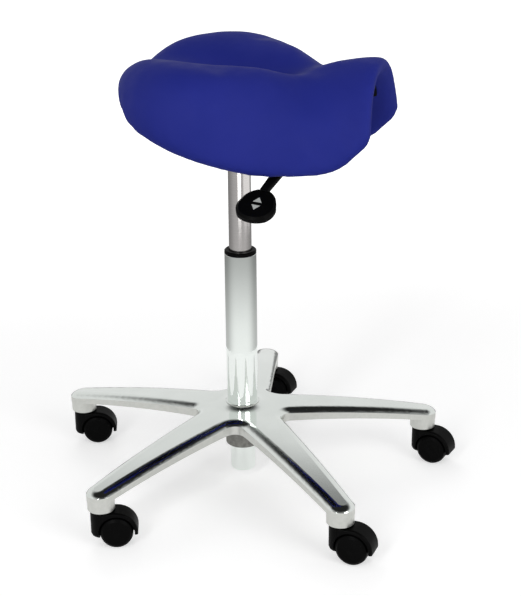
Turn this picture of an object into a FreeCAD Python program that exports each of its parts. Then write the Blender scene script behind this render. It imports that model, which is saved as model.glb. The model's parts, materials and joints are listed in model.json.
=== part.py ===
"""Saddle stool on a five-arm castor base, in millimetres.

The origin is on the floor under the column. +Z is up and the sitter faces -Y, so the sitter's right is -X.
Each separate piece is written to parts/NODE.step.
"""
import FreeCAD
import Part
import math
import os

V = FreeCAD.Vector
UP = V(0, 0, 1)
ACROSS = V(0, 1, 0)
ORIGIN = V(0, 0, 0)

# Base casting
ARM_COUNT = 5
ARM_PITCH = 360 / ARM_COUNT
FIRST_ARM_ANGLE = 9.5
ARM_REACH = 304.0
ARM_HALF_WIDTH_AT_HUB = 39.4
ARM_TAPER = 0.059
VALLEY_RADIUS = 18.0
SHOULDER_RADIUS = 18.0
SHOULDER_TRIM = 3.5
CASTING_WALL = 4.5
CASTING_ROOF = 5.5
RIB_THICKNESS = 4.0
CUP_RADIUS = 20.8
CUP_BOTTOM = 59.0
SOCKET_RADIUS = 7.5
SOCKET_TOP = 82.0
BOSS_RADIUS = 27.4
BOSS_BOTTOM = 60.0
NECK_RADIUS = 25.8
COLLAR_RADIUS = 27.2
COLLAR_TOP = 135.0

# Castors
WHEEL_RADIUS = 25.0
WHEEL_INNER_FACE = 4.5
WHEEL_OUTER_FACE = 20.0
CASTOR_TRAIL = 22.0
CASTOR_HEADINGS = (-96.0, -70.0, -70.0, -95.0, -101.0)
HOOD_RADIUS = 32.2
HOOD_HALF_WIDTH = 17.5
HOOD_CLEARANCE_RADIUS = 27.0
PIVOT_RADIUS = 17.0
PIVOT_TOP = 58.5
PIVOT_BOTTOM = 15.0
WEB_HALF_THICKNESS = 3.5
STEM_RADIUS = 5.5
STEM_TOP = 80.0
STEM_BOTTOM = 43.0
AXLE_RADIUS = 3.0
RUNNING_GAP = 0.05

# Height column
COLUMN_RADIUS = 25.0
COLUMN_WALL = 2.2
COLUMN_TOP = 385.0
COLUMN_BOTTOM = 13.6
MORSE_TOP = 185.0
MORSE_SLOPE = math.tan(math.radians(1.4378))
FOOT_TOP = 54.0
FOOT_RADIUS = 20.6
BUSH_TOP = 391.0
BUSH_BOTTOM = 303.0
TUBE_RADIUS = 17.7
TUBE_BORE_RADIUS = 15.4
TUBE_BOTTOM = 174.0
CONE_BOTTOM = 523.0
CONE_TOP = 581.0
CONE_RADIUS = 14.6
ROD_RADIUS = 5.0
ROD_NECK_RADIUS = 4.0
ROD_BOTTOM = 15.0
ROD_TOP = 268.0
PISTON_BOTTOM = 252.0
END_PLATE_BOTTOM = 19.0
END_PLATE_TOP = 23.0
RACE_THICKNESS = 1.5
RACE_RADIUS = 12.0
BALL_RADIUS = 2.0
BALL_CIRCLE = 8.2
BALL_COUNT = 6
BEARING_TOP = END_PLATE_TOP + 2 * RACE_THICKNESS + 2 * BALL_RADIUS + RUNNING_GAP
BUTTON_RADIUS = 4.0
BUTTON_TOP = 586.5

# Seat mechanism
PLATE_BOTTOM = 592.0
PLATE_THICKNESS = 3.0
PLATE_TOP = PLATE_BOTTOM + PLATE_THICKNESS
HOUSING_HALF_WIDTH = 46.0
HOUSING_FRONT = -118.0
HOUSING_BACK = 42.0
HOUSING_BOTTOM = 554.0
SHEET = 2.5
SHAFT_X = -34.0
SHAFT_Z = 571.0
SHAFT_RADIUS = 4.0
LEVER_Y = -98.0
SCREW_RADIUS = 3.0
INSERT_RADIUS = 5.0
INSERT_LENGTH = 9.0
SCREW_PLACES = [(x, y) for x in (-58, 58) for y in (-104, 28)]

# Lever paddle
PADDLE_NECK = V(-129, -80, 528.5)
PADDLE_YAW = 5.0
PADDLE_FALL = 26.0
PADDLE_ROLL = -6.0
PADDLE_LENGTH = 62.0
PADDLE_WIDTH = 56.0
PADDLE_THICKNESS = 11.0

# Seat pad: heights, angles and shares of the half width at six even stations from the rear edge to the front edge
SEAT_REAR = 171.0
SEAT_FRONT = -226.0
SEAT_WIDEST = 30.0
SEAT_HALF_WIDTH = 196.0
SEAT_FRONT_HALF_WIDTH = 98.0
REAR_ROUNDNESS = 2.1
CENTRE_HEIGHTS = (674.0, 671.0, 654.0, 656.0, 688.0, 701.0)
FLANK_HEIGHTS = (670.0, 698.0, 700.0, 682.0, 652.0, 663.0)
FLANK_SHARES = (0.76, 0.76, 0.79, 0.73, 0.68, 0.78)
FLANK_ANGLES = (0.0, -4.0, -1.0, -37.0, -42.0, -60.0)
HEM_HEIGHTS = (622.0, 606.0, 580.0, 558.0, 548.0, 588.0)
HEM_ANGLES = (-82.0, -86.0, -86.0, -80.0, -78.0, -80.0)
REAR_THICKNESS = 45.0
FRONT_THICKNESS = 25.0
PAD_STATIONS = 19
PAD_END_STEP = 0.8
SHELL_THICKNESS = 6.0
SHELL_INSET = 26.0
SHELL_STATIONS = 9
PACKER_HEIGHT = 52.0


def rotated(shape, angle):
    """Copy turned about the vertical through the origin."""
    copy = shape.copy()
    copy.rotate(ORIGIN, UP, angle)
    return copy


def moved(shape, offset):
    copy = shape.copy()
    copy.translate(offset)
    return copy


def closed_wire(steps, place):
    """Closed wire through 2-D steps. A pair is a straight run; two pairs are an arc by way of the first."""
    edges = []
    here = steps[0]
    for step in steps[1:]:
        if isinstance(step[0], tuple):
            via, there = step
            edges.append(Part.Arc(place(*here), place(*via), place(*there)).toShape())
        else:
            there = step
            edges.append(Part.makeLine(place(*here), place(*there)))
        here = there
    if here != steps[0]:
        edges.append(Part.makeLine(place(*here), place(*steps[0])))
    return Part.Wire(edges)


def turned(steps, centre=ORIGIN):
    """Solid of revolution about a vertical axis, from (radius, height) steps."""
    profile = Part.Face(closed_wire(steps, lambda radius, height: V(radius, 0, height)))
    return moved(profile.revolve(ORIGIN, UP, 360), centre)


def turned_about_y(steps, centre):
    """Solid of revolution about an axis along Y, from (radius, y) steps."""
    profile = Part.Face(closed_wire(steps, lambda radius, y: V(radius, y, 0)))
    return moved(profile.revolve(ORIGIN, ACROSS, 360), centre)


def rod(radius, start, end):
    axis = end - start
    return Part.makeCylinder(radius, axis.Length, start, axis)


def post(radius, x, y, low, high):
    return Part.makeCylinder(radius, high - low, V(x, y, low))


def block(x_low, x_high, y_low, y_high, z_low, z_high, corner=0):
    """Box between limits, with its upright edges rounded."""
    box = Part.makeBox(x_high - x_low, y_high - y_low, z_high - z_low, V(x_low, y_low, z_low))
    if corner == 0:
        return box
    upright = [edge for edge in box.Edges if edge.BoundBox.ZLength > (z_high - z_low) / 2]
    return box.makeFillet(corner, upright)


def fused(shapes):
    return shapes[0].multiFuse(shapes[1:]).removeSplitter()


def export(name, shape):
    shape.exportStep(f"parts/{name}.step")


# Base casting

def arm_end(index):
    angle = math.radians(FIRST_ARM_ANGLE + index * ARM_PITCH)
    return V(ARM_REACH * math.cos(angle), ARM_REACH * math.sin(angle), 0)


def star_prism(grow, low, high):
    """Prism on the star's outline, grown by a distance: tapered arms, round ends and round valleys."""
    half = math.radians(ARM_PITCH / 2)
    slant = math.hypot(1, ARM_TAPER)
    root = ARM_HALF_WIDTH_AT_HUB + grow * slant
    valley = VALLEY_RADIUS - grow
    valley_centre = (root + valley * slant) / (math.sin(half) + ARM_TAPER * math.cos(half))
    arm_start = V(valley_centre * math.cos(half) - valley * ARM_TAPER / slant,
                  valley_centre * math.sin(half) - valley / slant, 0)
    end_radius = (root - ARM_TAPER * ARM_REACH) / slant
    arm_stop = V(ARM_REACH + end_radius * ARM_TAPER / slant, end_radius / slant, 0)

    def around(point, angle):
        return FreeCAD.Rotation(UP, angle).multVec(point)

    edges = []
    for index in range(ARM_COUNT):
        angle = FIRST_ARM_ANGLE + index * ARM_PITCH
        start, stop = [around(point, angle) for point in (arm_start, arm_stop)]
        mirror_start, mirror_stop = [around(V(point.x, -point.y, 0), angle) for point in (arm_start, arm_stop)]
        tip = around(V(ARM_REACH + end_radius, 0, 0), angle)
        valley_floor = around(V(valley_centre - valley, 0, 0), angle + ARM_PITCH / 2)
        next_start = around(V(arm_start.x, -arm_start.y, 0), angle + ARM_PITCH)
        edges.append(Part.makeLine(mirror_start, mirror_stop))
        edges.append(Part.Arc(mirror_stop, tip, stop).toShape())
        edges.append(Part.makeLine(stop, start))
        edges.append(Part.Arc(start, valley_floor, next_start).toShape())
    prism = Part.Face(Part.Wire(edges)).extrude(UP * (high - low))
    return moved(prism, UP * low)


def crown(drop):
    """Turned solid under the casting's top surface, lowered by a distance."""
    return turned([
        (0, 40), (0, 133 - drop), (NECK_RADIUS, 133 - drop), ((34, 130.2 - drop), (45, 128.3 - drop)),
        ((190, 112.6 - drop), (334, 87.8 - drop)), (334, 40),
    ])


def morse_radius(height):
    return COLUMN_RADIUS - max(0, MORSE_TOP - height) * MORSE_SLOPE


def star_base():
    grown = star_prism(SHOULDER_TRIM, 45, 150).common(crown(0))
    rim = [edge for edge in grown.Edges
           if edge.BoundBox.ZMin > 80 and math.hypot(edge.CenterOfMass.x, edge.CenterOfMass.y) > 60]
    body = grown.makeFillet(SHOULDER_RADIUS, rim).common(star_prism(0, 45, 150))
    below_skirt = turned([(0, 30), (0, 106.5), (60, 106.5), ((200, 93.8), (340, 70.2)), (340, 30)])
    body = body.cut(below_skirt)

    ends = [arm_end(index) for index in range(ARM_COUNT)]
    cups = [turned([(0, CUP_BOTTOM), (CUP_RADIUS - 1, CUP_BOTTOM), (CUP_RADIUS, CUP_BOTTOM + 1), (CUP_RADIUS, 83),
                    (0, 86)], end) for end in ends]
    boss = turned([(0, BOSS_BOTTOM), (BOSS_RADIUS - 1, BOSS_BOTTOM), (BOSS_RADIUS, BOSS_BOTTOM + 1),
                   (BOSS_RADIUS + 2.5, 125), (0, 125)])
    pocket = star_prism(-CASTING_WALL, 40, 150).common(crown(CASTING_ROOF))
    pocket = pocket.cut(fused([boss] + [post(CUP_RADIUS - 1, end.x, end.y, 40, 150) for end in ends]))
    rib = block(BOSS_RADIUS, ARM_REACH - CUP_RADIUS + 3, -RIB_THICKNESS / 2, RIB_THICKNESS / 2, 60, 150)
    rib = rib.common(crown(CASTING_ROOF - 1)).cut(below_skirt)
    ribs = [rotated(rib, FIRST_ARM_ANGLE + index * ARM_PITCH) for index in range(ARM_COUNT)]
    collar = turned([
        (NECK_RADIUS - 3, 123), (NECK_RADIUS, 123), (NECK_RADIUS, COLLAR_TOP - 3.8),
        (COLLAR_RADIUS, COLLAR_TOP - 3), (COLLAR_RADIUS, COLLAR_TOP - 0.8), (COLLAR_RADIUS - 0.8, COLLAR_TOP),
        (NECK_RADIUS - 3, COLLAR_TOP),
    ])
    body = body.cut(pocket).multiFuse([boss, collar] + cups + ribs)
    bore = turned([(0, 30), (morse_radius(30), 30), (morse_radius(150), 150), (0, 150)])
    sockets = [post(SOCKET_RADIUS, end.x, end.y, 50, SOCKET_TOP) for end in ends]
    return body.cut(bore).cut(Part.makeCompound(sockets)).removeSplitter()


def stem_socket(index):
    """Plastic sleeve pressed into an arm's cup."""
    return turned([
        (STEM_RADIUS + RUNNING_GAP, CUP_BOTTOM), (SOCKET_RADIUS, CUP_BOTTOM), (SOCKET_RADIUS, SOCKET_TOP),
        (0, SOCKET_TOP), (0, STEM_TOP + 1), (STEM_RADIUS + RUNNING_GAP, STEM_TOP + 1),
    ], arm_end(index))


# Castors, each drawn with its swivel axis on the origin and trailing toward +X

def set_under_arm(shape, index):
    return moved(rotated(shape, CASTOR_HEADINGS[index]), arm_end(index))


def around_axle(angle, radius):
    turn = math.radians(angle)
    return (CASTOR_TRAIL + radius * math.cos(turn), WHEEL_RADIUS + radius * math.sin(turn))


def castor_stem():
    groove = STEM_RADIUS - 0.8
    return turned([
        (0, STEM_BOTTOM), (STEM_RADIUS, STEM_BOTTOM), (STEM_RADIUS, STEM_TOP - 8), (groove, STEM_TOP - 8),
        (groove, STEM_TOP - 6), (STEM_RADIUS, STEM_TOP - 6), (STEM_RADIUS, STEM_TOP), (0, STEM_TOP),
    ])


def castor_hood():
    """Moulded hood: a round pivot post at the front, a curved cover over both wheels and a web between them."""
    def place(x, z):
        return V(x, -HOOD_HALF_WIDTH, z)

    tip = around_axle(-6, HOOD_RADIUS)
    inner_tip = around_axle(-6, HOOD_CLEARANCE_RADIUS - 1)
    side = closed_wire([
        (0, 14), (0, WHEEL_RADIUS + HOOD_RADIUS), around_axle(90, HOOD_RADIUS), (around_axle(42, HOOD_RADIUS), tip),
        inner_tip, (CASTOR_TRAIL + 9, 14),
    ], place)
    cover = Part.Face(side).extrude(ACROSS * (2 * HOOD_HALF_WIDTH))
    rim = [edge for edge in cover.Edges if edge.BoundBox.YLength < 0.01
           and edge.Length > HOOD_RADIUS and edge.BoundBox.ZMax > 50]
    cover = cover.makeFillet(4, rim)
    pivot = turned([
        (0, PIVOT_BOTTOM), (PIVOT_RADIUS - 6, PIVOT_BOTTOM), (PIVOT_RADIUS - 1.5, PIVOT_BOTTOM + 2.5),
        (PIVOT_RADIUS, PIVOT_BOTTOM + 6), (PIVOT_RADIUS, PIVOT_TOP - 1), (PIVOT_RADIUS - 1, PIVOT_TOP),
        (0, PIVOT_TOP),
    ])
    body = cover.fuse(pivot)
    for side in (-1, 1):
        near = V(CASTOR_TRAIL, side * WEB_HALF_THICKNESS, WHEEL_RADIUS)
        far = V(CASTOR_TRAIL, side * 40, WHEEL_RADIUS)
        body = body.cut(rod(HOOD_CLEARANCE_RADIUS, near, far))
    axle = V(CASTOR_TRAIL, 0, WHEEL_RADIUS)
    axle_hole = rod(AXLE_RADIUS, axle - ACROSS * 10, axle + ACROSS * 10)
    return body.cut(axle_hole).cut(castor_stem()).removeSplitter()


def castor_axle():
    reach = WHEEL_OUTER_FACE - 4.5
    return turned_about_y([(0, -reach), (AXLE_RADIUS, -reach), (AXLE_RADIUS, reach), (0, reach)],
                          V(CASTOR_TRAIL, 0, WHEEL_RADIUS))


def castor_wheel(side):
    """Wheel with a domed tread and a dished outer face round its hub cap."""
    inner = WHEEL_INNER_FACE
    outer = WHEEL_OUTER_FACE
    bore = AXLE_RADIUS + RUNNING_GAP
    profile = [
        (bore, inner), (WHEEL_RADIUS - 1, inner), (WHEEL_RADIUS, inner + 1), (WHEEL_RADIUS, outer - 7.5),
        (WHEEL_RADIUS - 1.4, outer - 3.2), (WHEEL_RADIUS - 5, outer - 0.6), (7, outer - 1.6), (0, outer - 0.6),
        (0, outer - 4), (bore, outer - 4),
    ]
    if side < 0:
        profile = [(radius, -y) for radius, y in profile]
    return turned_about_y(profile, V(CASTOR_TRAIL, 0, WHEEL_RADIUS))


# Height column

def column_tube():
    """Outer tube with its Morse taper and stepped foot."""
    foot_bore = FOOT_RADIUS - COLUMN_WALL
    step_top = FOOT_TOP + 3
    return turned([
        (COLUMN_RADIUS - COLUMN_WALL, COLUMN_TOP), (COLUMN_RADIUS - 0.6, COLUMN_TOP), (COLUMN_RADIUS, COLUMN_TOP - 0.6),
        (COLUMN_RADIUS, MORSE_TOP), (morse_radius(step_top), step_top), (morse_radius(step_top), FOOT_TOP - 1),
        (FOOT_RADIUS, FOOT_TOP - 3), (FOOT_RADIUS, COLUMN_BOTTOM + 4), (FOOT_RADIUS - 1.2, COLUMN_BOTTOM + 1.2),
        (FOOT_RADIUS - 4, COLUMN_BOTTOM),
        (foot_bore - 3, COLUMN_BOTTOM), (foot_bore - 3, END_PLATE_BOTTOM), (foot_bore, END_PLATE_BOTTOM),
        (foot_bore, FOOT_TOP - 2), (morse_radius(step_top) - COLUMN_WALL, step_top + 2),
        (COLUMN_RADIUS - COLUMN_WALL, MORSE_TOP),
    ])


def column_end_plate():
    outer = FOOT_RADIUS - COLUMN_WALL
    return turned([(ROD_NECK_RADIUS + 0.4, END_PLATE_BOTTOM), (outer, END_PLATE_BOTTOM), (outer, END_PLATE_TOP),
                   (ROD_NECK_RADIUS + 0.4, END_PLATE_TOP)])


def guide_bush():
    """Black guide bush: a flange on the tube's rim and a sleeve inside."""
    bore = TUBE_RADIUS + RUNNING_GAP
    sleeve = COLUMN_RADIUS - COLUMN_WALL
    return turned([
        (bore, BUSH_BOTTOM), (sleeve, BUSH_BOTTOM), (sleeve, COLUMN_TOP), (COLUMN_RADIUS, COLUMN_TOP),
        (COLUMN_RADIUS, BUSH_TOP - 1.5), (COLUMN_RADIUS - 1.5, BUSH_TOP), (bore + 1.5, BUSH_TOP),
        (bore, BUSH_TOP - 1.5),
    ])


def race(bore, low):
    high = low + RACE_THICKNESS
    return turned([(bore, low), (RACE_RADIUS, low), (RACE_RADIUS, high), (bore, high)])


def bearing_balls():
    height = END_PLATE_TOP + RACE_THICKNESS + BALL_RADIUS
    balls = []
    for index in range(BALL_COUNT):
        turn = math.radians(index * 360 / BALL_COUNT)
        centre = V(BALL_CIRCLE * math.cos(turn), BALL_CIRCLE * math.sin(turn), height)
        balls.append(Part.makeSphere(BALL_RADIUS, centre))
    return Part.makeCompound(balls)


def piston_rod():
    groove = ROD_NECK_RADIUS - 0.8
    spigot = ROD_RADIUS - 1.5
    return turned([
        (0, ROD_BOTTOM), (ROD_NECK_RADIUS, ROD_BOTTOM), (ROD_NECK_RADIUS, ROD_BOTTOM + 2.2),
        (groove, ROD_BOTTOM + 2.2), (groove, ROD_BOTTOM + 3.4),
        (ROD_NECK_RADIUS, ROD_BOTTOM + 3.4), (ROD_NECK_RADIUS, BEARING_TOP), (ROD_RADIUS, BEARING_TOP),
        (ROD_RADIUS, PISTON_BOTTOM), (spigot, PISTON_BOTTOM), (spigot, ROD_TOP), (0, ROD_TOP),
    ])


def rod_clip():
    low = ROD_BOTTOM + 2.2
    ring = turned([(ROD_NECK_RADIUS - 0.8, low), (7, low), (7, low + 1.2), (ROD_NECK_RADIUS - 0.8, low + 1.2)])
    return ring.cut(block(-2, 2, -8, 0, low - 1, low + 3))


def gas_piston():
    low = PISTON_BOTTOM
    outer = TUBE_BORE_RADIUS - RUNNING_GAP
    spigot = ROD_RADIUS - 1.5
    return turned([(spigot, low), (outer, low), (outer, low + 4), (outer - 2, low + 4), (outer - 2, low + 9),
                   (outer, low + 9), (outer, low + 13), (spigot, low + 13)])


def bump_stop():
    """Rubber buffer on the rod, over the thrust bearing."""
    low = BEARING_TOP
    return turned([(ROD_RADIUS, low), (11, low), (12.4, low + 4), (11, low + 8), (9.5, low + 14),
                   (ROD_RADIUS, low + 14)])


def cone_radius(height):
    return CONE_RADIUS - (height - CONE_BOTTOM) * MORSE_SLOPE


def pressure_tube():
    """Inner tube that carries the seat, with the valve block and cone at its top."""
    valve = BUTTON_RADIUS + RUNNING_GAP
    ceiling = CONE_BOTTOM - 10
    return turned([
        (TUBE_BORE_RADIUS, TUBE_BOTTOM), (TUBE_RADIUS - 1, TUBE_BOTTOM), (TUBE_RADIUS, TUBE_BOTTOM + 1),
        (TUBE_RADIUS, CONE_BOTTOM - 4), (CONE_RADIUS, CONE_BOTTOM), (cone_radius(CONE_TOP), CONE_TOP),
        (valve, CONE_TOP), (valve, CONE_TOP - 44), (TUBE_BORE_RADIUS - 4, CONE_TOP - 44),
        (TUBE_BORE_RADIUS - 4, ceiling), (TUBE_BORE_RADIUS, ceiling),
    ])


def rod_guide():
    low = TUBE_BOTTOM + 2
    bore = ROD_RADIUS + RUNNING_GAP
    return turned([(bore, low), (TUBE_BORE_RADIUS, low), (TUBE_BORE_RADIUS, low + 20), (bore, low + 20)])


def valve_button():
    return turned([(0, CONE_TOP - 34), (BUTTON_RADIUS, CONE_TOP - 34), (BUTTON_RADIUS, BUTTON_TOP - 1),
                   (BUTTON_RADIUS - 1, BUTTON_TOP), (0, BUTTON_TOP)])


# Seat mechanism

def cone_socket():
    """Tapered socket that grips the column's cone, welded into the housing's floor."""
    low = CONE_BOTTOM + 1
    high = CONE_TOP - 3
    return turned([
        (cone_radius(low), low), (20.5, low), (22, low + 1.5), (22, HOUSING_BOTTOM), (20.5, HOUSING_BOTTOM),
        (20.5, high), (cone_radius(high), high),
    ])


def mechanism_housing():
    """Pressed steel tray under the plate, with a flange, a bearing lug and the lever's window."""
    top = PLATE_BOTTOM
    tray = block(-HOUSING_HALF_WIDTH, HOUSING_HALF_WIDTH, HOUSING_FRONT, HOUSING_BACK, HOUSING_BOTTOM, top, 12)
    tray = tray.makeChamfer(4, [edge for edge in tray.Edges if edge.BoundBox.ZMax < HOUSING_BOTTOM + 0.01])
    hollow = block(-HOUSING_HALF_WIDTH + SHEET, HOUSING_HALF_WIDTH - SHEET, HOUSING_FRONT + SHEET,
                   HOUSING_BACK - SHEET, HOUSING_BOTTOM + SHEET, top + 1, 9.5)
    hollow = hollow.makeChamfer(2.5, [edge for edge in hollow.Edges
                                      if edge.BoundBox.ZMax < HOUSING_BOTTOM + SHEET + 0.01])
    flange = block(-70, 70, HOUSING_FRONT - 6, HOUSING_BACK + 6, top - SHEET, top, 10)
    lug = block(SHAFT_X - 8, SHAFT_X + 8, 20, 24, HOUSING_BOTTOM + 1, SHAFT_Z + 9)
    body = tray.fuse(flange).cut(hollow).fuse(lug)
    socket_hole = post(20.5, 0, 0, HOUSING_BOTTOM - 2, HOUSING_BOTTOM + 10)
    shaft_hole = rod(SHAFT_RADIUS + RUNNING_GAP, V(SHAFT_X, HOUSING_FRONT - 2, SHAFT_Z), V(SHAFT_X, 30, SHAFT_Z))
    window = block(-HOUSING_HALF_WIDTH - 2, -HOUSING_HALF_WIDTH + SHEET + 2, LEVER_Y - 13, LEVER_Y + 13,
                   SHAFT_Z - 14, SHAFT_Z + 10)
    screw_holes = [post(SCREW_RADIUS + 0.3, x, y, top - 5, top + 1) for x, y in SCREW_PLACES]
    return body.cut(fused([socket_hole, shaft_hole, window])).cut(Part.makeCompound(screw_holes)).removeSplitter()


def mechanism_plate():
    """Steel plate between the housing and the seat, with screw holes, a window over the button and two slots."""
    plate = block(-76, 76, HOUSING_FRONT - 10, HOUSING_BACK + 10, PLATE_BOTTOM, PLATE_TOP, 14)
    low = PLATE_BOTTOM - 1
    high = PLATE_TOP + 1
    cuts = [post(SCREW_RADIUS + 0.3, x, y, low, high) for x, y in SCREW_PLACES]
    cuts.append(post(11, 0, 0, low, high))
    for side in (-1, 1):
        x = side * 20
        cuts.append(fused([post(5, x, -90, low, high), post(5, x, -50, low, high),
                           block(x - 5, x + 5, -90, -50, low, high)]))
    return plate.cut(Part.makeCompound(cuts))


def plate_screws():
    """Four pan-head screws up through the flange and the plate."""
    seat = PLATE_BOTTOM - SHEET
    head = turned([(0, seat - 3.6), (4.6, seat - 3.6), (6.2, seat - 1.5), (6.2, seat), (0, seat)])
    shank = post(SCREW_RADIUS, 0, 0, seat - 1, PLATE_TOP + INSERT_LENGTH)
    recess = fused([rotated(block(-2.8, 2.8, -0.8, 0.8, seat - 5, seat - 1.8), angle) for angle in (0, 90)])
    screw = head.fuse(shank).removeSplitter().cut(recess)
    return Part.makeCompound([moved(screw, V(x, y, 0)) for x, y in SCREW_PLACES])


def seat_inserts():
    """Brass threaded inserts in the packer, round the screws."""
    high = PLATE_TOP + INSERT_LENGTH
    sleeve = turned([(SCREW_RADIUS, PLATE_TOP), (INSERT_RADIUS, PLATE_TOP), (INSERT_RADIUS, high),
                     (SCREW_RADIUS, high)])
    return Part.makeCompound([moved(sleeve, V(x, y, 0)) for x, y in SCREW_PLACES])


# Lever

def lever_shaft():
    """Cross shaft with the finger that presses the valve button."""
    pin = rod(SHAFT_RADIUS, V(SHAFT_X, HOUSING_FRONT - 1, SHAFT_Z), V(SHAFT_X, 26, SHAFT_Z))
    bottom = BUTTON_TOP + 0.2
    end = BUTTON_RADIUS + 1
    finger = closed_wire([
        (SHAFT_X - 7, SHAFT_Z), ((SHAFT_X, SHAFT_Z - 7), (SHAFT_X + 7, SHAFT_Z)), (SHAFT_X + 14, bottom), (end, bottom),
        (end, bottom + 3), (SHAFT_X + 9, bottom + 3), (SHAFT_X, SHAFT_Z + 10)], lambda x, z: V(x, -6, z))
    return pin.fuse(Part.Face(finger).extrude(ACROSS * 12)).removeSplitter()


def rounded_section(centre, along, width, height):
    """Rounded-rectangle wire square to a direction, with its width level."""
    across = along.cross(UP).normalize()
    upward = across.cross(along).normalize()
    corner = height * 0.35
    bend = corner * (1 - math.sqrt(0.5))
    w = width / 2
    h = height / 2

    def place(u, v):
        return centre + across * u + upward * v

    return closed_wire([
        (-w + corner, -h), (w - corner, -h), ((w - bend, -h + bend), (w, -h + corner)), (w, h - corner),
        ((w - bend, h - bend), (w - corner, h)), (-w + corner, h), ((-w + bend, h - bend), (-w, h - corner)),
        (-w, -h + corner), ((-w + bend, -h + bend), (-w + corner, -h)),
    ], place)


def paddle_axes():
    yaw = math.radians(PADDLE_YAW)
    fall = math.radians(PADDLE_FALL)
    along = V(-math.cos(yaw) * math.cos(fall), math.sin(yaw) * math.cos(fall), -math.sin(fall))
    across = FreeCAD.Rotation(along, PADDLE_ROLL).multVec(along.cross(UP).normalize())
    return along, across, across.cross(along).normalize()


def lever_arm():
    """Flat arm from the shaft, out through the housing's window and down to the paddle."""
    along = paddle_axes()[0]
    route = [
        (V(SHAFT_X + 8, LEVER_Y, SHAFT_Z + 1), V(-1, 0, 0), 20, 13),
        (V(SHAFT_X - 8, LEVER_Y, SHAFT_Z + 1), V(-1, 0, 0), 20, 13),
        (V(-60, LEVER_Y, SHAFT_Z - 4), V(-1, 0.03, -0.5), 19, 9),
        (V(-88, LEVER_Y + 4, SHAFT_Z - 20), V(-1, 0.15, -0.65), 18, 9),
        (PADDLE_NECK, along, 14, 8),
        (PADDLE_NECK + along * 18, along, 14, 5),
    ]
    arm = Part.makeLoft([rounded_section(*stage) for stage in route], True, True)
    return arm.cut(rod(SHAFT_RADIUS, V(SHAFT_X, LEVER_Y - 20, SHAFT_Z), V(SHAFT_X, LEVER_Y + 20, SHAFT_Z)))


def lever_paddle():
    """Finger paddle with bevelled rims, moulded over the arm's end."""
    along, across, normal = paddle_axes()
    half = PADDLE_THICKNESS / 2
    middle = PADDLE_NECK + along * (PADDLE_LENGTH / 2 + 3)

    def outline(shrink, height):
        length = PADDLE_LENGTH / 2 - shrink
        width = PADDLE_WIDTH / 2 - shrink
        return closed_wire([
            (-length, -0.3 * width), ((-0.7 * length, -0.7 * width), (-0.25 * length, -0.92 * width)),
            ((0.4 * length, -0.98 * width), (0.8 * length, -0.72 * width)), ((length, 0), (0.8 * length, 0.72 * width)),
            ((0.4 * length, 0.98 * width), (-0.25 * length, 0.92 * width)),
            ((-0.7 * length, 0.7 * width), (-length, 0.3 * width)),
        ], lambda u, v: middle + along * u + across * v + normal * height)

    bevel = [(1.5, -half), (0, 1.5 - half), (0, half - 3), (3.5, half)]
    pad = Part.makeLoft([outline(*stage) for stage in bevel], True, True)
    return pad.cut(lever_arm())


# Seat pad

def smooth(values, share):
    """Value at a share of the way along evenly spaced values, on a smooth curve through them."""
    spans = len(values) - 1
    place = min(max(share, 0), 1) * spans
    index = min(int(place), spans - 1)
    t = place - index
    start = values[index]
    end = values[index + 1]
    start_slope = (end - values[max(index - 1, 0)]) / 2
    end_slope = (values[min(index + 2, spans)] - start) / 2
    return ((2 * t ** 3 - 3 * t ** 2 + 1) * start + (t ** 3 - 2 * t ** 2 + t) * start_slope
            + (3 * t ** 2 - 2 * t ** 3) * end + (t ** 3 - t ** 2) * end_slope)


def half_width(y):
    """Half the pad's width: a round rear, and a soft narrowing to the front."""
    if y > SEAT_WIDEST:
        share = (y - SEAT_WIDEST) / (SEAT_REAR - SEAT_WIDEST)
        return SEAT_HALF_WIDTH * (1 - share ** REAR_ROUNDNESS) ** (1 / REAR_ROUNDNESS)
    share = (SEAT_WIDEST - y) / (SEAT_WIDEST - SEAT_FRONT)
    return SEAT_FRONT_HALF_WIDTH + (SEAT_HALF_WIDTH - SEAT_FRONT_HALF_WIDTH) * (1 + math.cos(math.pi * share)) / 2


def thickness(y):
    return REAR_THICKNESS + (FRONT_THICKNESS - REAR_THICKNESS) * min(max(y / SEAT_FRONT, 0), 1)


def fullness(y):
    """Share of the full thickness left where the pad rounds off at its rear and front edges."""
    rear = (SEAT_REAR - y) / (REAR_THICKNESS * 0.6)
    front = (y - SEAT_FRONT) / (FRONT_THICKNESS * 0.55)
    return math.sqrt(1 - (1 - min(rear, front, 1)) ** 2)


def biarc_joint(start, start_angle, end, end_angle):
    """Point and heading where two arcs meet that leave one point and reach another at given headings."""
    gap_x = end[0] - start[0]
    gap_z = end[1] - start[1]
    away = (math.cos(start_angle), math.sin(start_angle))
    home = (math.cos(end_angle), math.sin(end_angle))
    along = gap_x * (away[0] + home[0]) + gap_z * (away[1] + home[1])
    spread = 2 * (1 - away[0] * home[0] - away[1] * home[1])
    square = gap_x ** 2 + gap_z ** 2
    if spread < 1e-9:
        reach = square / (2 * along)
    else:
        reach = (math.sqrt(along ** 2 + spread * square) - along) / spread
    joint = ((start[0] + end[0] + reach * (away[0] - home[0])) / 2, (start[1] + end[1] + reach * (away[1] - home[1])) / 2)
    chord = math.atan2(joint[1] - start[1], joint[0] - start[0])
    return joint, 2 * chord - start_angle


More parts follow.
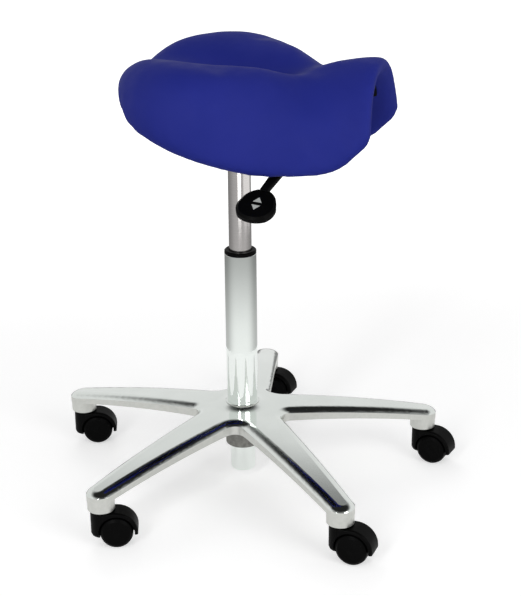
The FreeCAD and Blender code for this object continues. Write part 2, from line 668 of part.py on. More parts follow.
def mid_line(y):
    """Right half of the pad's mid-surface line at a station: points with headings, from the centre to the hem."""
    share = (SEAT_REAR - y) / (SEAT_REAR - SEAT_FRONT)
    inset = thickness(y) / 2
    edge_x = half_width(y) - inset * fullness(y)
    close = math.sqrt(1 - (1 - min(1, (SEAT_REAR - y) / 60)) ** 2)
    rear_middle = (CENTRE_HEIGHTS[0] + HEM_HEIGHTS[0]) / 2

    def height(values, offset):
        return rear_middle + (smooth(values, share) + offset - rear_middle) * close

    centre = (0, height(CENTRE_HEIGHTS, -inset))
    flank = (edge_x * smooth(FLANK_SHARES, share), height(FLANK_HEIGHTS, -inset))
    hem = (edge_x, height(HEM_HEIGHTS, inset))
    flank_angle = math.radians(smooth(FLANK_ANGLES, share)) * close
    hem_angle = math.radians(smooth(HEM_ANGLES, share)) * close ** 3
    return [(centre, 0), biarc_joint(centre, 0, flank, flank_angle), (flank, flank_angle),
            biarc_joint(flank, flank_angle, hem, hem_angle), (hem, hem_angle)]


def beside(knot, distance):
    """Point beside a knot, square to its heading."""
    (x, z), angle = knot
    return (x - math.sin(angle) * distance, z + math.cos(angle) * distance)


def arc_middle(first, second, distance):
    """Middle of the arc that runs beside the one between two knots."""
    (x0, z0), a0 = first
    (x1, z1), a1 = second
    turn = a1 - a0
    if abs(turn) < 1e-4:
        return beside((((x0 + x1) / 2, (z0 + z1) / 2), a0), distance)
    radius = math.hypot(x1 - x0, z1 - z0) / (2 * math.sin(turn / 2))
    centre_x = x0 - math.sin(a0) * radius
    centre_z = z0 + math.cos(a0) * radius
    middle = (a0 + a1) / 2
    return (centre_x + math.sin(middle) * (radius - distance), centre_z - math.cos(middle) * (radius - distance))


def skin(knots, distance):
    """Arcs beside a line of knots, each as (start, middle, end)."""
    return [(beside(first, distance), arc_middle(first, second, distance), beside(second, distance))
            for first, second in zip(knots, knots[1:])]


def layer_wire(y, knots, above, below):
    """Closed section of a layer round the mid line: both skins, and a half-round edge on either side."""
    upper = skin(knots, above)
    under = [(end, middle, start) for start, middle, end in reversed(skin(knots, -below))]
    centre = beside(knots[-1], (above - below) / 2)
    reach = (above + below) / 2

    def rim(turn):
        angle = knots[-1][1] + math.radians(turn)
        return (centre[0] + reach * math.cos(angle), centre[1] + reach * math.sin(angle))

    right = upper + [(upper[-1][2], rim(45), rim(0)), (rim(0), rim(-45), under[0][0])] + under
    left = [tuple((-x, z) for x, z in reversed(arc)) for arc in reversed(right)]
    edges = []
    for arc in right + left:
        start, middle, end = [V(x, y, z) for x, z in arc]
        straight = middle.distanceToPoint((start + end) * 0.5) < 0.002
        edges.append(Part.makeLine(start, end) if straight else Part.Arc(start, middle, end).toShape())
    return Part.Wire(edges)


def stations(rear, front, count):
    """Places along the seat, closer together towards both ends."""
    return [rear + (front - rear) * (1 - math.cos(math.pi * index / (count - 1))) / 2 for index in range(count)]


def seat_cushion():
    """Padded saddle: dished across at the rear and arched over the front, with deep rolled sides."""
    wires = []
    for y in stations(SEAT_REAR - PAD_END_STEP, SEAT_FRONT + PAD_END_STEP, PAD_STATIONS):
        half = thickness(y) * fullness(y) / 2
        wires.append(layer_wire(y, mid_line(y), half, half))
    return Part.makeLoft(wires, True, True)


def under_layer(top_gap, bottom_gap):
    """Layer under the pad's dish and arch, between two distances below its underside."""
    wires = []
    for y in stations(SEAT_REAR - SHELL_INSET, SEAT_FRONT + SHELL_INSET, SHELL_STATIONS):
        half = thickness(y) / 2
        wires.append(layer_wire(y, mid_line(y)[:3], -half - top_gap, half + bottom_gap))
    return Part.makeLoft(wires, True, True)


def seat_shell():
    return under_layer(0, SHELL_THICKNESS).cut(seat_cushion())


def seat_block():
    """Timber packer between the steel plate and the shell, hollowed to the shell's underside."""
    packer = block(-72, 72, HOUSING_FRONT - 6, HOUSING_BACK + 6, PLATE_TOP, PLATE_TOP + PACKER_HEIGHT, 16)
    holes = [post(INSERT_RADIUS, x, y, PLATE_TOP - 1, PLATE_TOP + INSERT_LENGTH) for x, y in SCREW_PLACES]
    holes.append(post(13, 0, 0, PLATE_TOP - 1, PLATE_TOP + 3))
    return packer.cut(under_layer(-60, SHELL_THICKNESS)).cut(Part.makeCompound(holes))


os.makedirs("parts", exist_ok=True)

export("star_base", star_base())
export("column_tube", column_tube())
export("column_end_plate", column_end_plate())
export("guide_bush", guide_bush())
export("bearing_lower_race", race(ROD_NECK_RADIUS + 0.4, END_PLATE_TOP))
export("bearing_balls", bearing_balls())

export("piston_rod", piston_rod())
export("rod_clip", rod_clip())
export("gas_piston", gas_piston())
export("bump_stop", bump_stop())
export("bearing_upper_race", race(ROD_NECK_RADIUS, BEARING_TOP - RACE_THICKNESS))

export("pressure_tube", pressure_tube())
export("rod_guide", rod_guide())
export("valve_button", valve_button())
export("cone_socket", cone_socket())
export("mechanism_housing", mechanism_housing())
export("mechanism_plate", mechanism_plate())
export("plate_screws", plate_screws())
export("seat_inserts", seat_inserts())
export("seat_block", seat_block())
export("seat_shell", seat_shell())
export("seat_cushion", seat_cushion())

export("lever_shaft", lever_shaft())
export("lever_arm", lever_arm())
export("lever_paddle", lever_paddle())

hood = castor_hood()
for index in range(ARM_COUNT):
    number = index + 1
    export(f"stem_socket_{number}", stem_socket(index))
    export(f"castor_{number}_stem", set_under_arm(castor_stem(), index))
    export(f"castor_{number}_hood", set_under_arm(hood, index))
    export(f"castor_{number}_axle", set_under_arm(castor_axle(), index))
    export(f"castor_{number}_wheel_left", set_under_arm(castor_wheel(-1), index))
    export(f"castor_{number}_wheel_right", set_under_arm(castor_wheel(1), index))
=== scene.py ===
"""Looks of a saddle stool: finishes, the padded seat, the lever's mark, floor, light and camera. Metres."""
import json
import math

import bmesh
import bpy
from mathutils import Matrix, Vector


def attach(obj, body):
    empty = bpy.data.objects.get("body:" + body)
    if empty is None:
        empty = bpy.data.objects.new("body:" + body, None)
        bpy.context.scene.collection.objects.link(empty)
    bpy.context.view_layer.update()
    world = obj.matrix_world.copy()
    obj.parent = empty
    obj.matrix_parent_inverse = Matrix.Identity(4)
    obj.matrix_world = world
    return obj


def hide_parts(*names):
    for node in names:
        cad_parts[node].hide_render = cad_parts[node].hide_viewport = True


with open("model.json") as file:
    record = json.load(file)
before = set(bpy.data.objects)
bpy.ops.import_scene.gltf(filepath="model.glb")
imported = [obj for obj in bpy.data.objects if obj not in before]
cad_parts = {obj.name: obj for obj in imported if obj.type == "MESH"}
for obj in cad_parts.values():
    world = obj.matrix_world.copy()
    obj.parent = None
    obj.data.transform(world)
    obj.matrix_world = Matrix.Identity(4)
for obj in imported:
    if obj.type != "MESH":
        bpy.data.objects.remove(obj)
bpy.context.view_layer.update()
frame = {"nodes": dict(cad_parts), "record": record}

NODES = frame["nodes"]
SCENE = bpy.context.scene

# Camera: the photograph's frame is 521 by 596 pixels and its long side spans the sensor
SENSOR = 36.0
FOCAL_PIXELS = 1437.0
FRAME_HEIGHT_PIXELS = 596.0
CAMERA_DISTANCE = 2.116
CAMERA_HEIGHT = 1.1092
CAMERA_BEARING = math.radians(-162)
CAMERA_PAN = math.radians(0.83)
CAMERA_TILT = math.radians(20.72)
CAMERA_ROLL = math.radians(-0.53)

# Base casting: reach of its boss, and height where the boss goes over into the skirts; the dark painted shade
# round the boss stops at these.
BOSS_REACH = 0.0305
SKIRT_TOP = 0.119

# Seat pad: how it is remeshed, blown up, moved and smoothed
WELD_DISTANCE = 0.00001
PAD_VOXEL = 0.005
SMOOTH_SHARE = 0.5
SMOOTH_BEFORE = 20
SMOOTH_AFTER = 12
PAD_PRESSURE = 4.0
PAD_REACH = 0.005
PAD_FRAMES = 20
COVER_THICKNESS = 0.0014
CROWN_SINK = 0.0032
HEM_DROP = 0.0065
HEM_SPREAD = 0.0015
REAR_SHOULDER_LIFT = 0.007
FLAP_CORNER_DROP = 0.008

# Mark on the lever's paddle: two triangles, their tips and feet measured from the middle
PADDLE_NECK = (-0.129, -0.080, 0.5285)
MARK_TIP = 0.013
MARK_FOOT = 0.003
MARK_HALF_WIDTH = 0.0065
MARK_HEIGHT = 0.0003
SAME_PLANE = 0.999

# Studio
DISC_SIDES = 96
FLOOR_RADIUS = 9.0
FLOOR_COLOUR = (0.72, 0.72, 0.72, 1)
FLOOR_GLOW_NEAR = 0.50
FLOOR_GLOW_FAR = 1.0
FLOOR_GLOW_START = 0.5
FLOOR_GLOW_END = 2.6
SWEEP_EDGE = 0.55
SWEEP_FADE = 0.65
SWEEP_DIM = 0.46
SWEEP_BEHIND = 0.55
SWEEP_LIFT = 0.002
CARD_LIFT = 0.004
CARD_NEAR = 1.45
CARD_FAR = 4.6
TENT_RADIUS = 5.0
TENT_PALE_TOP = 0.60
TENT_DARK_FROM = 0.84
TENT_PALE = 0.95
TENT_DARK = 0.02
AMBIENT = 0.38


def map_range(start, end, low, high):
    """Socket values of a map range node."""
    return {"From Min": start, "From Max": end, "To Min": low, "To Max": high}


def value_output(node):
    return "Value" if "Value" in node.outputs else "Result"


def link(obj):
    SCENE.collection.objects.link(obj)
    return obj


def mesh_object(name, verts, faces, smooth=True):
    mesh = bpy.data.meshes.new(name)
    mesh.from_pydata(verts, [], faces)
    mesh.update()
    for polygon in mesh.polygons:
        polygon.use_smooth = smooth
    return link(bpy.data.objects.new(name, mesh))


def baked(obj):
    """The object's mesh with its modifiers applied, which are then removed."""
    depsgraph = bpy.context.evaluated_depsgraph_get()
    mesh = bpy.data.meshes.new_from_object(obj.evaluated_get(depsgraph))
    obj.modifiers.clear()
    obj.data = mesh
    return obj


def dress(obj, material):
    obj.data.materials.clear()
    obj.data.materials.append(material)


# Materials, and the sockets of a mix node that carry colour

MIX_FIRST = 6
MIX_SECOND = 7
MIX_COLOUR = 2


class Shader:
    """Short way to write a node tree: a Principled shader, and nodes made and joined by name."""

    def __init__(self, name, colour, roughness, metallic=0.0):
        self.material = bpy.data.materials.new(name)
        self.material.use_nodes = True
        self.tree = self.material.node_tree
        self.surface = self.tree.nodes["Principled BSDF"]
        self.set(self.surface, **{"Base Color": (*colour, 1), "Roughness": roughness, "Metallic": metallic})

    def set(self, node, **values):
        for socket, value in values.items():
            node.inputs[socket].default_value = value
        return node

    def add(self, kind, **values):
        return self.set(self.tree.nodes.new(kind), **values)

    def join(self, source, output, node, socket):
        self.tree.links.new(source.outputs[output], node.inputs[socket])

    def coordinates(self, scale=(1, 1, 1)):
        place = self.add("ShaderNodeTexCoord")
        mapping = self.add("ShaderNodeMapping", Scale=scale)
        self.join(place, "Object", mapping, "Vector")
        return mapping

    def noise(self, scale, detail=4.0, stretch=(1, 1, 1), roughness=0.5):
        node = self.add("ShaderNodeTexNoise", Scale=scale, Detail=detail, Roughness=roughness)
        self.join(self.coordinates(stretch), "Vector", node, "Vector")
        return node

    def ramp(self, source, output, low, high, start=0.0, end=1.0):
        node = self.add("ShaderNodeMapRange", **map_range(start, end, low, high))
        self.join(source, output, node, "Value")
        return node

    def tint(self, source, output, dark, light, start=0.3, end=0.7):
        """Base colour that runs between two colours with a texture."""
        node = self.add("ShaderNodeValToRGB")
        node.color_ramp.elements[0].position = start
        node.color_ramp.elements[0].color = (*dark, 1)
        node.color_ramp.elements[1].position = end
        node.color_ramp.elements[1].color = (*light, 1)
        self.join(source, output, node, "Fac")
        self.join(node, "Color", self.surface, "Base Color")

    def maths(self, operation, first, second):
        node = self.add("ShaderNodeMath")
        node.operation = operation
        for socket, source in enumerate((first, second)):
            self.join(source, value_output(source), node, socket)
        return node

    def mix(self, factor, dark, light):
        """Colour between two colours by a factor node."""
        node = self.tree.nodes.new("ShaderNodeMix")
        node.data_type = "RGBA"
        node.inputs[MIX_FIRST].default_value = (*dark, 1)
        node.inputs[MIX_SECOND].default_value = (*light, 1)
        self.join(factor, value_output(factor), node, 0)
        return node

    def blend(self, factor, first, second):
        """Colour between two colour nodes by a factor node."""
        node = self.mix(factor, (0, 0, 0), (0, 0, 0))
        self.join(first, MIX_COLOUR, node, MIX_FIRST)
        self.join(second, MIX_COLOUR, node, MIX_SECOND)
        return node

    def vary_roughness(self, source, output, low, high):
        self.join(self.ramp(source, output, low, high, 0.3, 0.7), "Result", self.surface, "Roughness")

    def bump(self, source, output, distance, strength=1.0, under=None):
        node = self.add("ShaderNodeBump", Distance=distance, Strength=strength)
        self.join(source, output, node, "Height")
        if under:
            self.join(under, "Normal", node, "Normal")
        self.join(node, "Normal", self.surface, "Normal")
        return node


def vinyl():
    """Satin blue upholstery vinyl with a fine pebbled grain."""
    s = Shader("blue_vinyl", (0.015, 0.023, 0.235), 0.62)
    mottle = s.noise(9, 3)
    s.tint(mottle, "Fac", (0.013, 0.021, 0.220), (0.017, 0.025, 0.246))
    s.vary_roughness(s.noise(40, 3), "Fac", 0.57, 0.68)
    grain = s.add("ShaderNodeTexVoronoi", Scale=950.0)
    s.join(s.coordinates(), "Vector", grain, "Vector")
    pebbles = s.bump(grain, "Distance", 0.00012, 0.35)
    s.bump(s.noise(260, 4), "Fac", 0.0002, 0.25, pebbles)
    s.set(s.surface, **{"Specular IOR Level": 0.07})
    return s.material


def polished_metal(name, colour, roughness, wear=0.05):
    s = Shader(name, colour, roughness, 1.0)
    shade = [channel * (1 - wear) for channel in colour]
    s.tint(s.noise(14, 4), "Fac", shade, colour)
    s.vary_roughness(s.noise(55, 5), "Fac", roughness * 0.8, roughness * 1.35)
    s.bump(s.noise(420, 3), "Fac", 0.00004, 0.3)
    return s.material


def cast_aluminium():
    """Polished on top, satin on the upright skirts, whose darker colour is partly painted shade, and left
    rough as cast underneath and round the boss, which are also painted dark as shade.
    """
    s = Shader("polished_aluminium", (0.68, 0.71, 0.685), 0.12, 1.0)
    place = s.add("ShaderNodeTexCoord")
    slope = s.add("ShaderNodeSeparateXYZ")
    s.join(place, "Normal", slope, "Vector")
    point = s.add("ShaderNodeSeparateXYZ")
    s.join(place, "Object", point, "Vector")
    upright = s.ramp(slope, "Z", 1.0, 0.0, 0.12, 0.35)
    # Faces that look down, and the boss below the skirts, are painted dark as shade over a rougher as-cast
    # finish
    under = s.ramp(slope, "Z", 1.0, 0.0, -0.4, -0.1)
    reach = s.add("ShaderNodeVectorMath")
    reach.operation = "LENGTH"
    level = s.add("ShaderNodeCombineXYZ")
    s.join(point, "X", level, "X")
    s.join(point, "Y", level, "Y")
    s.join(level, "Vector", reach, 0)
    near = s.ramp(reach, "Value", 1.0, 0.0, BOSS_REACH, BOSS_REACH + 0.001)
    low = s.ramp(point, "Z", 1.0, 0.0, SKIRT_TOP - 0.003, SKIRT_TOP)
    boss = s.maths("MULTIPLY", near, low)
    rough_and_painted_shade = s.maths("MAXIMUM", boss, under)
    fine = s.noise(14, 4)
    grain = s.noise(160, 6, roughness=0.65)
    top = s.mix(s.ramp(fine, "Fac", 0.0, 1.0, 0.3, 0.7), (0.65, 0.68, 0.655), (0.70, 0.73, 0.705))
    # Upright skirts: satin finish, with a darker colour that is partly painted shade
    side = s.mix(s.ramp(grain, "Fac", 0.0, 1.0, 0.35, 0.65), (0.54, 0.55, 0.52), (0.585, 0.59, 0.56))
    # Dark grey painted shade for the underside and the boss
    painted_shade_raw = s.mix(s.ramp(grain, "Fac", 0.0, 1.0, 0.35, 0.65), (0.20, 0.20, 0.185), (0.30, 0.30, 0.28))
    colour = s.blend(rough_and_painted_shade, s.blend(upright, top, side), painted_shade_raw)
    s.join(colour, MIX_COLOUR, s.surface, "Base Color")
    satin = s.ramp(upright, "Result", 0.11, 0.34)
    s.join(s.maths("ADD", satin, s.ramp(rough_and_painted_shade, "Value", 0.0, 0.3)), "Value", s.surface, "Roughness")
    polish = s.bump(s.noise(420, 3), "Fac", 0.00004, 0.3)
    s.bump(grain, "Fac", 0.0001, 0.15, polish)
    return s.material


def brushed_metal(name, colour, roughness, stretch):
    """Metal with fine turned lines round a vertical axis, which draw its highlights out along the axis."""
    s = Shader(name, colour, roughness, 1.0)
    around = s.add("ShaderNodeTangent")
    around.direction_type = "RADIAL"
    around.axis = "Z"
    s.join(around, "Tangent", s.surface, "Tangent")
    s.set(s.surface, Anisotropic=0.5)
    lines = s.noise(60, 6, stretch, 0.65)
    s.tint(lines, "Fac", [channel * 0.9 for channel in colour], colour)
    s.vary_roughness(lines, "Fac", roughness * 0.8, roughness * 1.3)
    s.bump(lines, "Fac", 0.00003, 0.4)
    return s.material


def moulded_plastic(name, colour, roughness):
    s = Shader(name, colour, roughness)
    s.tint(s.noise(30, 3), "Fac", [channel * 0.85 for channel in colour], colour)
    s.vary_roughness(s.noise(90, 4), "Fac", roughness * 0.9, roughness * 1.15)
    s.bump(s.noise(1400, 2), "Fac", 0.00006, 0.35)
    s.set(s.surface, **{"Specular IOR Level": 0.035})
    return s.material


def birch_ply():
    s = Shader("birch_ply", (0.55, 0.40, 0.24), 0.6)
    layers = s.add("ShaderNodeTexWave", Scale=110.0, Distortion=1.5, Detail=3.0)
    layers.bands_direction = "Z"
    s.join(s.coordinates(), "Vector", layers, "Vector")
    s.tint(layers, "Fac", (0.42, 0.28, 0.15), (0.62, 0.46, 0.29), 0.1, 0.9)
    s.bump(s.noise(300, 5, (1, 6, 1)), "Fac", 0.0001, 0.4)
    return s.material


def printed_mark():
    s = Shader("pale_print", (0.50, 0.52, 0.50), 0.5)
    s.tint(s.noise(600, 4), "Fac", (0.40, 0.42, 0.40), (0.55, 0.57, 0.55))
    s.vary_roughness(s.noise(300, 3), "Fac", 0.4, 0.6)
    return s.material


def finishes():
    return {
        "black_plastic": moulded_plastic("black_nylon", (0.0022, 0.0022, 0.0022), 0.42),
        "polished_aluminium": cast_aluminium(),
        "chromed_tube": polished_metal("chromed_tube", (0.83, 0.87, 0.84), 0.05, 0.03),
        "steel_tube": brushed_metal("drawn_steel", (0.80, 0.77, 0.755), 0.13, (0.02, 0.02, 9)),
        "bright_steel": brushed_metal("bright_steel", (0.66, 0.66, 0.66), 0.25, (1, 1, 6)),
        "wheel_nylon": moulded_plastic("wheel_nylon", (0.0018, 0.0018, 0.0018), 0.4),
        "black_rubber": moulded_plastic("black_rubber", (0.006, 0.006, 0.006), 0.7),
        "black_paint": moulded_plastic("black_paint", (0.005, 0.005, 0.005), 0.38),
        "brass_insert": polished_metal("brass", (0.75, 0.56, 0.26), 0.25),
        "plywood": birch_ply(),
        "blue_vinyl": vinyl(),
    }


def dress_frame(paints):
    """Gives every carried-over node the finish of its material slot."""
    for part in frame["record"]["subparts"]:
        obj = NODES[part["node"]]
        obj.data.materials.clear()
        obj.data.materials.append(paints[part["material_slot"]])


# Seat pad

def inflate(obj):
    """Blows the pad up a little as cloth over foam, and holds each point near where it was."""
    before = [vertex.co.copy() for vertex in obj.data.vertices]
    cloth = obj.modifiers.new("cover", "CLOTH")
    settings = cloth.settings
    settings.quality = 6
    settings.mass = 0.4
    settings.tension_stiffness = 60
    settings.compression_stiffness = 60
    settings.shear_stiffness = 30
    settings.bending_stiffness = 8
    settings.use_pressure = True
    settings.uniform_pressure_force = PAD_PRESSURE
    settings.effector_weights.gravity = 0
    cloth.collision_settings.use_collision = False
    cloth.point_cache.frame_start = 1
    cloth.point_cache.frame_end = PAD_FRAMES
    for step in range(1, PAD_FRAMES + 1):
        SCENE.frame_set(step)
    baked(obj)
    SCENE.frame_set(1)
    for vertex, start in zip(obj.data.vertices, before):
        move = vertex.co - start
        if move.length > PAD_REACH:
            vertex.co = start + move * (PAD_REACH / move.length)


def bell(value, centre, width):
    """Smooth weight that is 1 at a centre and dies away over a width."""
    return math.exp(-((value - centre) / width) ** 2)


def fade(value, start, end):
    """Smooth step from 0 at the start to 1 at the end."""
    share = min(max((value - start) / (end - start), 0), 1)
    return share * share * (3 - 2 * share)


def settle_shape(obj):
    """Thickness of the cover, its pull on the crown, and fuller hems, rear shoulders and flap corners."""
    moves = [(vertex, vertex.normal.copy()) for vertex in obj.data.vertices]
    for vertex, normal in moves:
        x, y, z = vertex.co
        across = abs(x)
        hang = fade(across, 0.100, 0.150) * fade(z, 0.650, 0.610) * fade(y, -0.140, -0.060)
        shoulder = bell(across, 0.085, 0.055) * bell(y, 0.138, 0.038) * fade(z, 0.615, 0.660)
        corner = bell(y, -0.182, 0.026) * fade(across, 0.050, 0.080) * fade(z, 0.625, 0.575)
        vertex.co += normal * COVER_THICKNESS
        vertex.co.x += math.copysign(HEM_SPREAD * hang, x)
        vertex.co.z -= CROWN_SINK * max(normal.z, 0) + HEM_DROP * hang
        vertex.co.z += REAR_SHOULDER_LIFT * shoulder - FLAP_CORNER_DROP * corner


def seat_pad(material):
    mesh = NODES["seat_cushion"].data.copy()
    pad = link(bpy.data.objects.new("seat_cover", mesh))
    weld = bmesh.new()
    weld.from_mesh(mesh)
    bmesh.ops.remove_doubles(weld, verts=weld.verts, dist=WELD_DISTANCE)
    weld.to_mesh(mesh)
    weld.free()
    remesh = pad.modifiers.new("even", "REMESH")
    remesh.mode = "VOXEL"
    remesh.voxel_size = PAD_VOXEL
    soften = pad.modifiers.new("soften", "SMOOTH")
    soften.factor = SMOOTH_SHARE
    soften.iterations = SMOOTH_BEFORE
    baked(pad)
    inflate(pad)
    settle_shape(pad)
    settle = pad.modifiers.new("settle", "SMOOTH")
    settle.factor = SMOOTH_SHARE
    settle.iterations = SMOOTH_AFTER
    round_off = pad.modifiers.new("round_off", "SUBSURF")
    round_off.levels = 1
    round_off.render_levels = 1
    baked(pad)
    for polygon in pad.data.polygons:
        polygon.use_smooth = True
    dress(pad, material)
    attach(pad, "seat")
    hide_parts("seat_cushion")
    return pad


# Mark on the lever

def paddle_mark(material):
    """Generic raise and lower mark: two thin triangles on the flat top of the lever's paddle."""
    mesh = NODES["lever_paddle"].data
    crown = max(mesh.polygons, key=lambda polygon: polygon.area * max(polygon.normal.z, 0))
    up = crown.normal.copy()
    flat = [polygon for polygon in mesh.polygons if polygon.normal.dot(up) > SAME_PLANE]
    area = sum(polygon.area for polygon in flat)
    middle = sum((polygon.center * polygon.area for polygon in flat), Vector()) / area
    along = middle - Vector(PADDLE_NECK)
    along = (along - up * along.dot(up)).normalized()
    side = up.cross(along)
    verts = []
    faces = []
    for sign in (-1, 1):
        foot = MARK_FOOT * sign
        corners = [(MARK_TIP * sign, 0), (foot, MARK_HALF_WIDTH), (foot, -MARK_HALF_WIDTH)]
        first = len(verts)
        for height in (0, MARK_HEIGHT):
            verts += [middle + along * reach + side * across + up * height for reach, across in corners]
        order = (0, 1, 2) if sign > 0 else (0, 2, 1)
        low = [first + index for index in order]
        high = [first + 3 + index for index in order]
        faces += [tuple(reversed(low)), tuple(high)]
        faces += [(low[i], low[(i + 1) % 3], high[(i + 1) % 3], high[i]) for i in range(3)]
    mark = mesh_object("lever_mark", verts, faces, smooth=False)
    dress(mark, material)
    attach(mark, "lever")


# Floor, light and camera

class Glow:
    """Node tree of a stage surface or of the world, seen by camera, mirror and glass rays alike."""

    def __init__(self, tree):
        self.tree = tree
        tree.nodes.clear()

    def add(self, kind, **values):
        node = self.tree.nodes.new(kind)
        for socket, value in values.items():
            node.inputs[socket].default_value = value
        return node

    def join(self, source, output, node, socket):
        self.tree.links.new(source.outputs[output], node.inputs[socket])
        return node

    def seen(self):
        """1 for camera, glossy and transmission rays, 0 for the rest."""
        path = self.add("ShaderNodeLightPath")
        total = path
        output = "Is Camera Ray"
        for ray in ("Is Glossy Ray", "Is Transmission Ray"):
            both = self.add("ShaderNodeMath")
            both.operation = "ADD"
            both.use_clamp = True
            self.join(total, output, both, 0)
            self.join(path, ray, both, 1)
            total = both
            output = "Value"
        return total

    def spread(self, source, output, start, end, low, high):
        """Level that runs smoothly from low to high while the source runs from start to end."""
        node = self.add("ShaderNodeMapRange", **map_range(start, end, low, high))
        node.interpolation_type = "SMOOTHSTEP"
        return self.join(source, output, node, "Value")

    def vector_maths(self, operation):
        node = self.add("ShaderNodeVectorMath")
        node.operation = operation
        return node

    def distance(self):
        """Distance from the scene's vertical axis on a flat surface."""
        return self.join(self.add("ShaderNodeTexCoord"), "Object", self.vector_maths("LENGTH"), 0)

    def times(self, first, second):
        node = self.add("ShaderNodeMath")
        node.operation = "MULTIPLY"
        self.join(first[0], first[1], node, 0)
        return self.join(second[0], second[1], node, 1)


def stage_material(name):
    material = bpy.data.materials.new(name)
    material.use_nodes = True
    return material, Glow(material.node_tree)


def disc(name, inner, outer, height):
    """Flat disc, or a flat ring where the inner radius isn't 0."""
    count = DISC_SIDES
    radii = [outer] if inner == 0 else [inner, outer]
    turns = [2 * math.pi * i / count for i in range(count)]
    verts = [(radius * math.cos(turn), radius * math.sin(turn), height) for radius in radii for turn in turns]
    if inner == 0:
        faces = [tuple(range(count))]
    else:
        faces = [(i, (i + 1) % count, count + (i + 1) % count, count + i) for i in range(count)]
    return mesh_object(name, verts, faces, smooth=False)


def mirror_only(obj):
    """A studio panel that is out of shot: it shows in polished surfaces and nowhere else."""
    obj.visible_camera = False
    obj.visible_diffuse = False
    obj.visible_transmission = False
    obj.visible_volume_scatter = False
    obj.visible_shadow = False


def floor():
    """Pale floor that takes the object's shadow and runs out to white."""
    surface = disc("studio_floor", 0, FLOOR_RADIUS, 0)
    material, glow = stage_material("studio_floor")
    level = glow.spread(glow.distance(), "Value", FLOOR_GLOW_START, FLOOR_GLOW_END,
                        FLOOR_GLOW_NEAR, FLOOR_GLOW_FAR)
    strength = glow.times((glow.seen(), "Value"), (level, "Result"))
    shine = glow.join(strength, "Value", glow.add("ShaderNodeEmission"), "Strength")
    paper = glow.add("ShaderNodeBsdfDiffuse", Color=FLOOR_COLOUR)
    both = glow.join(paper, "BSDF", glow.add("ShaderNodeAddShader"), 0)
    glow.join(shine, "Emission", both, 1)
    glow.join(both, "Shader", glow.add("ShaderNodeOutputMaterial"), "Surface")
    surface.data.materials.append(material)


def floor_beyond():
    """The studio floor past the lit paper, where the light falls off, more so behind the object."""
    surface = disc("studio_floor_beyond", SWEEP_EDGE, TENT_RADIUS, SWEEP_LIFT)
    material, glow = stage_material("studio_floor_beyond")
    level = glow.spread(glow.distance(), "Value", SWEEP_EDGE, SWEEP_EDGE + SWEEP_FADE, 1.0, SWEEP_DIM)
    place = glow.add("ShaderNodeTexCoord")
    unit = glow.join(place, "Object", glow.vector_maths("NORMALIZE"), 0)
    toward = glow.join(unit, "Vector", glow.vector_maths("DOT_PRODUCT"), 0)
    toward.inputs[1].default_value = (math.cos(CAMERA_BEARING), math.sin(CAMERA_BEARING), 0)
    front = glow.spread(toward, "Value", -0.6, 0.9, SWEEP_BEHIND, 1.0)
    total = glow.times((level, "Result"), (front, "Result"))
    shine = glow.join(total, "Value", glow.add("ShaderNodeEmission"), "Strength")
    glow.join(shine, "Emission", glow.add("ShaderNodeOutputMaterial"), "Surface")
    surface.data.materials.append(material)
    mirror_only(surface)


def card(name, bearing, half_angle, strength):
    """Pale card on the floor, which draws one upright highlight on a tube. Angles in degrees."""
    turns = [math.radians(bearing + share * half_angle) for share in (-1, 0, 1)]
    verts = [(radius * math.cos(turn), radius * math.sin(turn), CARD_LIFT)
             for radius in (CARD_NEAR, CARD_FAR) for turn in turns]
    surface = mesh_object(name, verts, [(0, 1, 4, 3), (1, 2, 5, 4)], smooth=False)
    material, glow = stage_material(name)
    shine = glow.add("ShaderNodeEmission", Strength=strength)
    glow.join(shine, "Emission", glow.add("ShaderNodeOutputMaterial"), "Surface")
    surface.data.materials.append(material)
    mirror_only(surface)


def tent():
    """Studio walls and ceiling: pale up to the height of the lamps, dark above."""
    ball = bmesh.new()
    bmesh.ops.create_uvsphere(ball, u_segments=64, v_segments=48, radius=TENT_RADIUS)
    below = [vertex for vertex in ball.verts if vertex.co.z < -0.01]
    bmesh.ops.delete(ball, geom=below, context="VERTS")
    mesh = bpy.data.meshes.new("studio_tent")
    ball.to_mesh(mesh)
    ball.free()
    surface = link(bpy.data.objects.new("studio_tent", mesh))
    material, glow = stage_material("studio_tent")
    split = glow.join(glow.add("ShaderNodeTexCoord"), "Object", glow.add("ShaderNodeSeparateXYZ"), "Vector")
    level = glow.spread(split, "Z", TENT_RADIUS * TENT_PALE_TOP, TENT_RADIUS * TENT_DARK_FROM,
                        TENT_PALE, TENT_DARK)
    shine = glow.join(level, "Result", glow.add("ShaderNodeEmission"), "Strength")
    glow.join(shine, "Emission", glow.add("ShaderNodeOutputMaterial"), "Surface")
    surface.data.materials.append(material)
    mirror_only(surface)


def sky():
    """White room for camera and mirror rays, and an even dim light for the rest."""
    world = bpy.data.worlds.new("studio")
    SCENE.world = world
    world.use_nodes = True
    glow = Glow(world.node_tree)
    level = glow.add("ShaderNodeMapRange", **{"To Min": AMBIENT, "To Max": 1.0})
    glow.join(glow.seen(), "Value", level, "Value")
    room = glow.add("ShaderNodeBackground", Color=(1, 1, 1, 1))
    glow.join(level, "Result", room, "Strength")
    glow.join(room, "Background", glow.add("ShaderNodeOutputWorld"), "Surface")


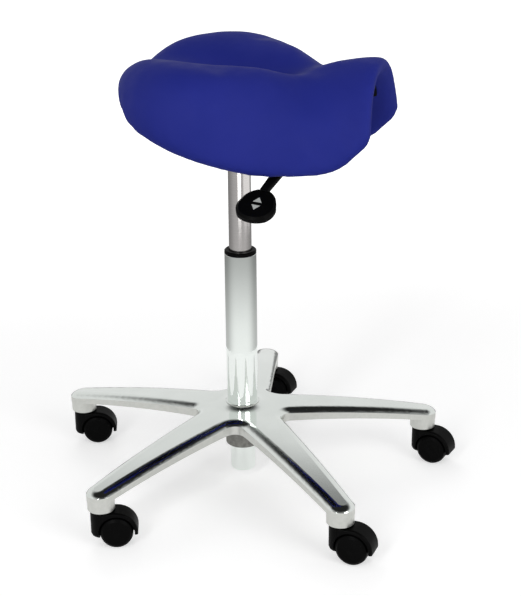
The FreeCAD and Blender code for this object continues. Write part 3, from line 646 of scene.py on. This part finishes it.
def softbox(name, bearing, distance, height, size, power, target=(0, 0, 0.4)):
    """Area lamp of a width and height, on a bearing in degrees, aimed at the object."""
    lamp = bpy.data.lights.new(name, "AREA")
    lamp.shape = "RECTANGLE"
    lamp.size = size[0]
    lamp.size_y = size[1]
    lamp.energy = power
    obj = link(bpy.data.objects.new(name, lamp))
    turn = math.radians(bearing)
    place = Vector((distance * math.cos(turn), distance * math.sin(turn), height))
    obj.location = place
    obj.rotation_euler = (Vector(target) - place).to_track_quat("-Z", "Y").to_euler()
    return obj


def lights():
    softbox("left_of_camera", 172, 2.6, 1.6, (0.4, 1.7), 26)
    softbox("right_of_camera", 240, 2.6, 1.6, (1.5, 1.5), 24)
    far = softbox("far_side", 30, 2.4, 2.2, (1.5, 1.5), 14)
    far.visible_glossy = False


def camera():
    bearing = CAMERA_BEARING
    place = Vector((CAMERA_DISTANCE * math.cos(bearing), CAMERA_DISTANCE * math.sin(bearing), CAMERA_HEIGHT))
    inward = bearing + math.pi - CAMERA_PAN
    forward = Vector((math.cos(inward) * math.cos(CAMERA_TILT), math.sin(inward) * math.cos(CAMERA_TILT),
                      -math.sin(CAMERA_TILT)))
    right = forward.cross(Vector((0, 0, 1))).normalized()
    up = right.cross(forward)
    right, up = (right * math.cos(CAMERA_ROLL) + up * math.sin(CAMERA_ROLL),
                 up * math.cos(CAMERA_ROLL) - right * math.sin(CAMERA_ROLL))
    data = bpy.data.cameras.new("camera")
    data.sensor_width = SENSOR
    data.lens = FOCAL_PIXELS * SENSOR / FRAME_HEIGHT_PIXELS
    obj = link(bpy.data.objects.new("camera", data))
    turn = Matrix((right, up, -forward)).transposed().to_4x4()
    obj.matrix_world = Matrix.Translation(place) @ turn
    SCENE.camera = obj


SCENE.view_settings.view_transform = "Standard"
paints = finishes()
dress_frame(paints)
seat_pad(paints["blue_vinyl"])
paddle_mark(printed_mark())
sky()
floor()
floor_beyond()
card("studio_card_front", 196, 15, 2.2)
card("studio_card_right", 278, 42, 0.9)
tent()
lights()
camera()

bpy.context.view_layer.update()
